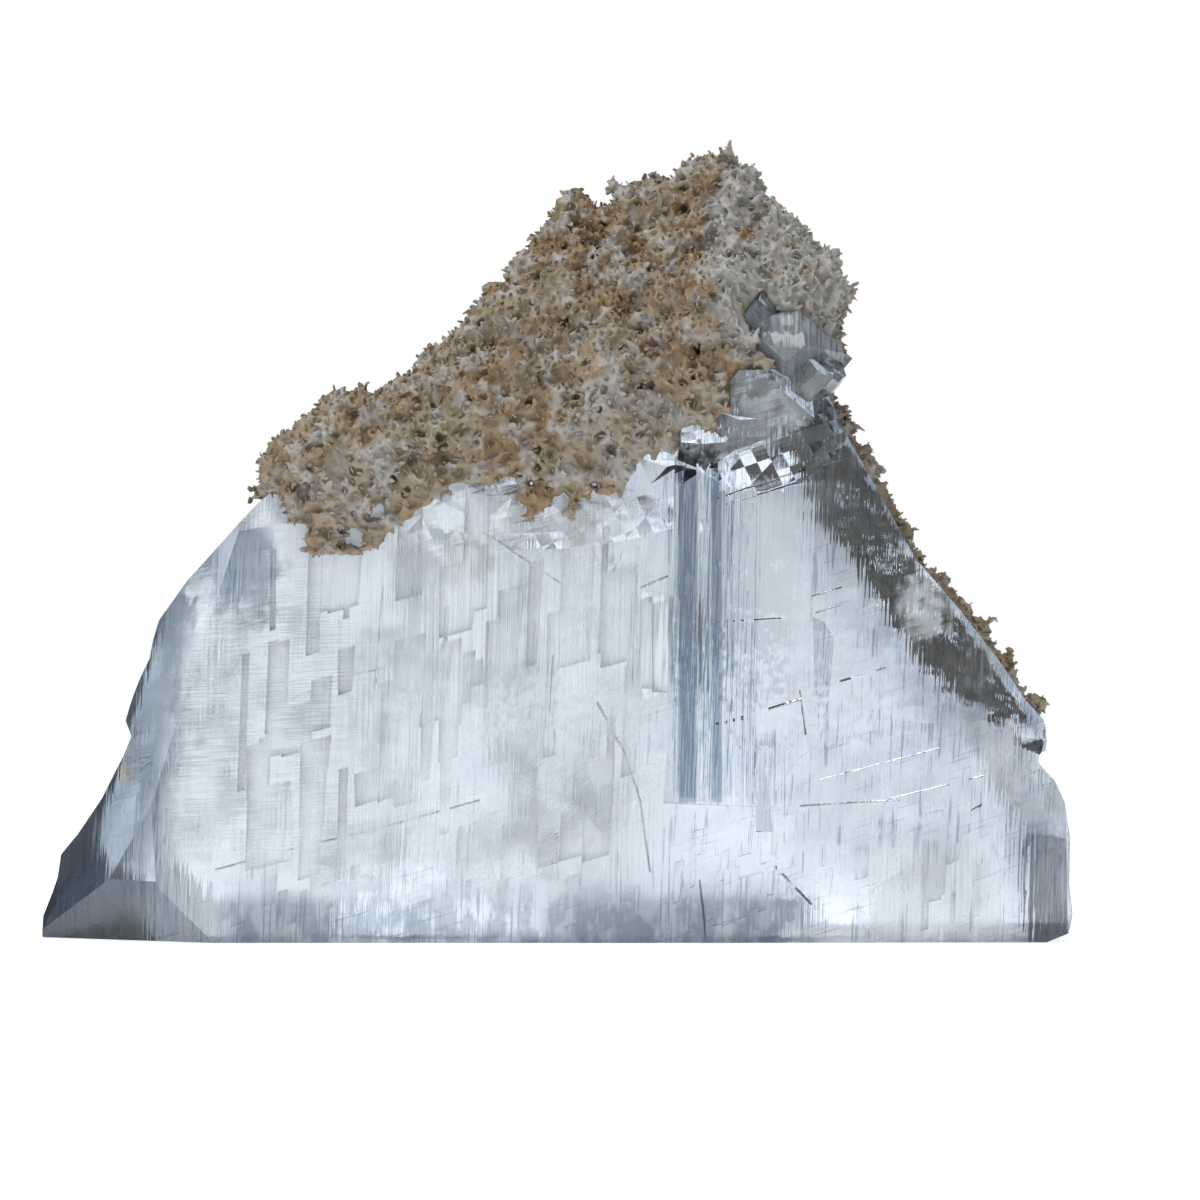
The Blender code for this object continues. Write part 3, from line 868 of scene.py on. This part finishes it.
# %% The patterns in the crystal
def broken_facets(start):
    """Small blocks with a slope of their own each, as a height for a bump."""
    blocks = stretched(start, (330, 330, 330), (0.5, 0.3, 0.4))
    blocks = blocks.node("VectorMath", {"operation": "FLOOR"}, {0: blocks})
    slope = blocks.node("TexWhiteNoise", {}, {"Vector": blocks}, output="Color")
    slope = slope.node("VectorMath", {"operation": "SUBTRACT"}, {0: slope, 1: (0.5, 0.5, 0.5)})
    place = stretched(start, (900, 900, 900))
    return slope.node("VectorMath", {"operation": "DOT_PRODUCT"}, {0: slope, 1: place}, output="Value")


class Patterns:
    """The fields that the crystal's finish is mixed from."""

    def __init__(self, start):
        self.level = lines(start, 0.011, 0.00032, 3)
        self.upright = lines(start, 0.020, 0.00075, 88)
        self.thin_upright = lines(start, 0.030, 0.00022, 89, shift=0.02)
        self.rising = lines(start, 0.016, 0.0006, 17)
        self.hatch = lines(start, 0.006, 0.00028, 38)
        self.cloud = even_noise(start, (34, 20, 26), 4, 0.62)
        self.blotch = even_noise(start, (210, 150, 120), 2, 0.6)
        self.patches = self.cloud.between(0.34, 0.62)


# %% The zones of the crystal
# A round zone has its middle, its radii and sometimes its softness, and a straight one its ends.
MAIN_FACE = (410, 710), (290, 240)
HATCHED = (590, 820), (120, 130), 0.8
LENS = (930, 820), (140, 90)
LENS_FOOT = (930, 890), (70, 50)
LEFT_SHOULDER = (238, 560), (46, 60)
WHITE_PATCH = (918, 605), (26, 32), 0.9
WHITE_GRAIN = (205, 600), (16, 26)
BROKEN_BLOCKS = [
    ((782, 350), (66, 66)), ((735, 425), (60, 34)), ((460, 512), (90, 26)), ((585, 520), (60, 34)),
]
LEVEL_LINES_END = (300, 400)
WINDOW_COLUMNS, WINDOW_ROWS = (676, 796), (470, 806)
PANE_COLUMNS, PANE_ROWS = (760, 812), (500, 735)
PANE_STEP_ROWS = (619, 622)
FOOT_COLUMNS, FOOT_ROWS = (215, 815), (850, 915)
BLOCK_COLUMNS, BLOCK_ROWS = (1000, 1020), (770, 800)
LEFT_BAND_EDGE, LEFT_BAND_ROW, LEFT_BAND_LEAN = (150, 190), 750, 0.16
BRIGHT_BAR_COLUMNS, BRIGHT_BAR_ROWS = (641, 671), (596, 690)
DARK_BAR_COLUMNS, SECOND_BAR_COLUMNS, DARK_BAR_ROWS = (679, 697), (712, 722), (470, 803)
END_ZONE, END_ZONE_LEAN, END_ZONE_FOOT = (415, 580), 0.616, (700, 770)

# How far the noises bend the edges of the zones, in pixels.
CLOUD_BEND = 90
BLOTCH_BEND_ACROSS = 70
BLOTCH_BEND_DOWN = 90
RISING_BEND = 40


class Zones:
    """Where the parts of the finish lie, as fields from 0 to 1, most with wavy edges."""

    def __init__(self, start, look):
        column, row = column_and_row(start)
        cloud, blotch, rising = look.cloud - 0.5, look.blotch - 0.5, look.rising - 0.5
        bent_column = column + cloud * CLOUD_BEND + blotch * BLOTCH_BEND_ACROSS
        wavy = (bent_column, row + blotch * BLOTCH_BEND_DOWN + rising * RISING_BEND)
        self.wavy = wavy
        self.plain = (column, row)
        self.main_face = spot(*wavy, *MAIN_FACE)
        self.left_part = 1 - column.between(*LEVEL_LINES_END)
        self.hatched = spot(*wavy, *HATCHED)
        self.window = band(column, *WINDOW_COLUMNS, 14) * band(row, *WINDOW_ROWS, 6)
        self.pane = band(column + blotch * 16, *PANE_COLUMNS, 9) * band(row + blotch * 40, *PANE_ROWS, 20)
        self.pane_foot = row.between(*PANE_STEP_ROWS)
        # The foot, the bottom of the slab, which gets painted shade.
        self.foot = wavy[1].between(*FOOT_ROWS) * band(column, *FOOT_COLUMNS, 20)
        self.lens = spot(*wavy, *LENS)
        self.lens_foot = spot(*wavy, *LENS_FOOT)
        self.block = column.between(*BLOCK_COLUMNS) * row.between(*BLOCK_ROWS)
        # The left band, over the side facets, which gets painted shade.
        leaning = column + (row - LEFT_BAND_ROW) * LEFT_BAND_LEAN + blotch * 30
        self.left_band = 1 - leaning.between(*LEFT_BAND_EDGE) + spot(*wavy, *LEFT_SHOULDER) * 0.8
        # The bright bars, which get a painted highlight of milk.
        self.highlight_bars = band(column, *BRIGHT_BAR_COLUMNS, 3) * band(row + blotch * 60, *BRIGHT_BAR_ROWS, 5)
        # The dark bars, which get painted shade.
        both_bars = band(column, *DARK_BAR_COLUMNS, 2) + band(column, *SECOND_BAR_COLUMNS, 2) * 0.9
        self.shaded_bars = both_bars * band(row, *DARK_BAR_ROWS, 3)
        near_end = (column - END_ZONE_LEAN * row + cloud * 120).between(*END_ZONE)
        self.right_end = near_end * (1 - row.between(*END_ZONE_FOOT))
        self.white_patch = spot(*wavy, *WHITE_PATCH)
        self.white_grain = spot(*wavy, *WHITE_GRAIN)
        self.broken = sum(spot(*wavy, *place) for place in BROKEN_BLOCKS)


# %% Milk, smoke, painted shade and stains
BROWN_STAINS = [(((567, 522), (26, 17)), 0.8), (((466, 552), (32, 28)), 0.5), (((505, 508), (24, 9)), 0.9)]
RING_SPOT = (122, 775), (10, 11)


def milkiness(look, zone):
    """How much the parted sheets hide the clear crystal."""
    across = zone.left_part * look.level.between(0.35, 0.68)
    across = across + (1 - zone.left_part) * look.thin_upright.between(0.38, 0.62)
    across = zone.hatched * (look.hatch.between(0.36, 0.66) - across) + across
    milky = zone.main_face * (0.24 + 0.36 * look.patches + 0.42 * across * look.patches)
    milky = milky + (1 - zone.main_face) * 0.28 * look.patches * look.upright.between(0.4, 0.65)
    milky = milky * (1 - 0.85 * zone.window) * (1 - 0.75 * zone.foot)
    milky = milky * (1 - 0.7 * zone.left_band) * (1 - zone.block * 0.6)
    milky = milky + zone.lens * 0.10 * look.patches + zone.lens_foot * 0.35 * look.patches
    # Painted highlight: milk on the bright bars.
    milky = milky + zone.highlight_bars * (0.25 + 0.5 * look.upright.between(0.4, 0.6))
    return milky + zone.white_patch * 0.5 + zone.broken * 0.30 + zone.white_grain * 0.4


def smoke_and_shade(look, zone):
    """How grey the cracks and the dim zones are, with painted shade on the left band, the foot and the dark
    bars.
    """
    cracks = look.upright.between(0.44, 0.34) * look.blotch.between(0.42, 0.60)
    greying = cracks * 0.60 + look.rising.between(0.36, 0.28) * 0.4 * (1 - zone.window)
    greying = greying + (1 - zone.main_face) * 0.10
    # Painted shade on the foot.
    greying = greying + zone.foot * (0.12 + 0.6 * look.blotch.between(0.60, 0.40))
    # Painted shade on the left band.
    greying = greying + zone.left_band * (0.60 + 0.4 * look.cloud) + zone.block * 0.25
    # Painted shade on the dark bars, beside the lens's own grey.
    greying = greying + zone.lens * (0.10 + 0.15 * look.blotch.between(0.45, 0.6)) + zone.shaded_bars * 0.95
    greying = greying + zone.window * (1 - zone.pane) * look.thin_upright.between(0.46, 0.34) * 0.7
    greying = greying * (1 - 0.8 * zone.pane) * (1 - zone.highlight_bars)
    greying = greying + zone.pane * (0.04 + 0.10 * zone.pane_foot)
    end_smoke = 0.45 + 0.4 * look.blotch.between(0.35, 0.6)
    return greying + zone.right_end * end_smoke * (1 - zone.white_patch)


def staining(look, zone):
    """Where clay has stained the crystal brown."""
    stain = sum(spot(*zone.wavy, *place) * strength for place, strength in BROWN_STAINS)
    stain = stain + spot(*zone.plain, *RING_SPOT) * 0.6
    return stain + zone.right_end * look.patches * 0.35 * (1 - zone.white_patch)


# %% The slab's finish
CLEAR = (0.985, 0.992, 1.0)
# Grey for smoke and cracks, and painted shade on the left band, the foot and the dark bars.
SMOKE_AND_SHADE_GREY = (0.22, 0.275, 0.34)
MILK = (0.72, 0.77, 0.80)
STAIN = (0.36, 0.25, 0.14)
ABSORBED = (0.71, 0.765, 0.82)
ABSORPTION = 20.0
ROUGH_BLOCKS = [((760, 385), (80, 85)), ((515, 515), (130, 28))]


def clear_finish():
    """Clear gypsum with its milk by a mix, a painted milk highlight on the bright bars, and its smoke,
    painted shade and stains in its own colour.
    """
    material, start = new_finish("clear_selenite")
    look = Patterns(start)
    zone = Zones(start, look)
    colour = smoke_and_shade(look, zone).between(0.0, 1.0).blend(CLEAR, SMOKE_AND_SHADE_GREY)
    colour = staining(look, zone).between(0.0, 1.0).blend(colour, STAIN)
    rough = 0.02 + 0.28 * look.patches * (1 - zone.window * 0.95) + 0.1 * zone.hatched
    rough_blocks = sum(spot(*zone.plain, *place) for place in ROUGH_BLOCKS)
    height = look.upright * 0.6 + look.blotch * 0.7 + broken_facets(start) * rough_blocks * 0.9
    bump = start.node("Bump", {}, {"Height": height, "Strength": 0.5, "Distance": 0.0006})
    glass = start.node("BsdfPrincipled", {}, {
        "Base Color": colour, "Roughness": rough, "IOR": GYPSUM_IOR, "Transmission Weight": 1.0,
        "Normal": bump,
    })
    milk = start.node("BsdfPrincipled", {}, {
        "Base Color": shown(MILK), "Roughness": 0.35, "IOR": GYPSUM_IOR, "Normal": bump,
    })
    milky = milkiness(look, zone).between(0.0, 1.1, 0.0, 0.9)
    surface = start.node("MixShader", {}, {0: milky, 1: glass, 2: milk})
    absorb = start.node("VolumeAbsorption", {}, {"Color": shown(ABSORBED), "Density": ABSORPTION})
    close_finish(start, surface, absorb)
    return material


slab.data.materials.clear()
slab.data.materials.append(clear_finish())
print("the slab's finish has", len(slab.data.materials[0].node_tree.nodes), "nodes")
